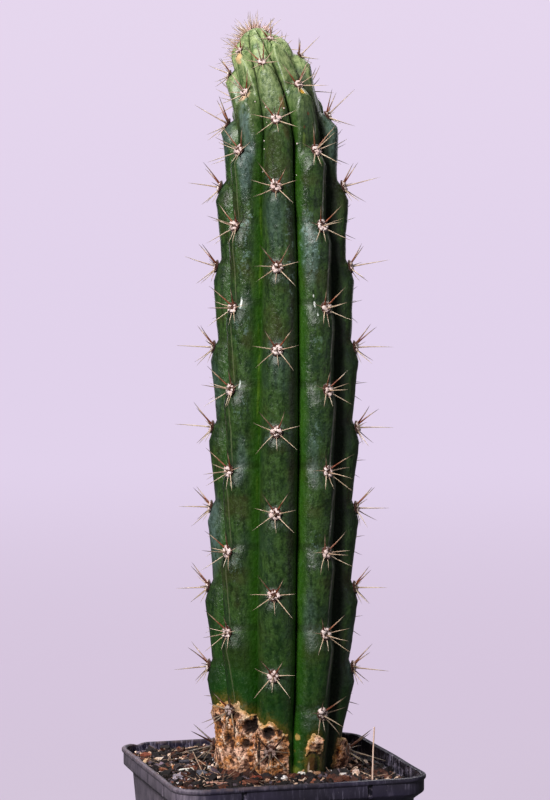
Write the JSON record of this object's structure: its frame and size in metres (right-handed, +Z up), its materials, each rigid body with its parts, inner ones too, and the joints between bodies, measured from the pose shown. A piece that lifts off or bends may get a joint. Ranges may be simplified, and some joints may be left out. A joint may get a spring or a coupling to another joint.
{
  "type": "potted columnar cactus",
  "caption": "Potted columnar cactus: an upright dark green ribbed stem with spines in star-shaped clusters, in soil in a square black plastic nursery pot.",
  "frame": {"origin": "middle of the pot's underside, on the ground", "axes": "+Z up along the stem, X and Y square to the pot's sides; the picture looks from -Y, 16.4 degrees round towards -X"},
  "size_m": [0.1, 0.1, 0.3901],
  "materials": {
    "pot_plastic": "satin black, a little dusty",
    "potting_mix": "rough bark and grit",
    "cactus_skin": "satin, waxy",
    "dry_straw": "dry, matte"
  },
  "bodies": {
    "root": {"pot": "pot_plastic", "soil": "potting_mix", "cactus_stem": "cactus_skin", "straw": "dry_straw"}
  },
  "joints": []
}
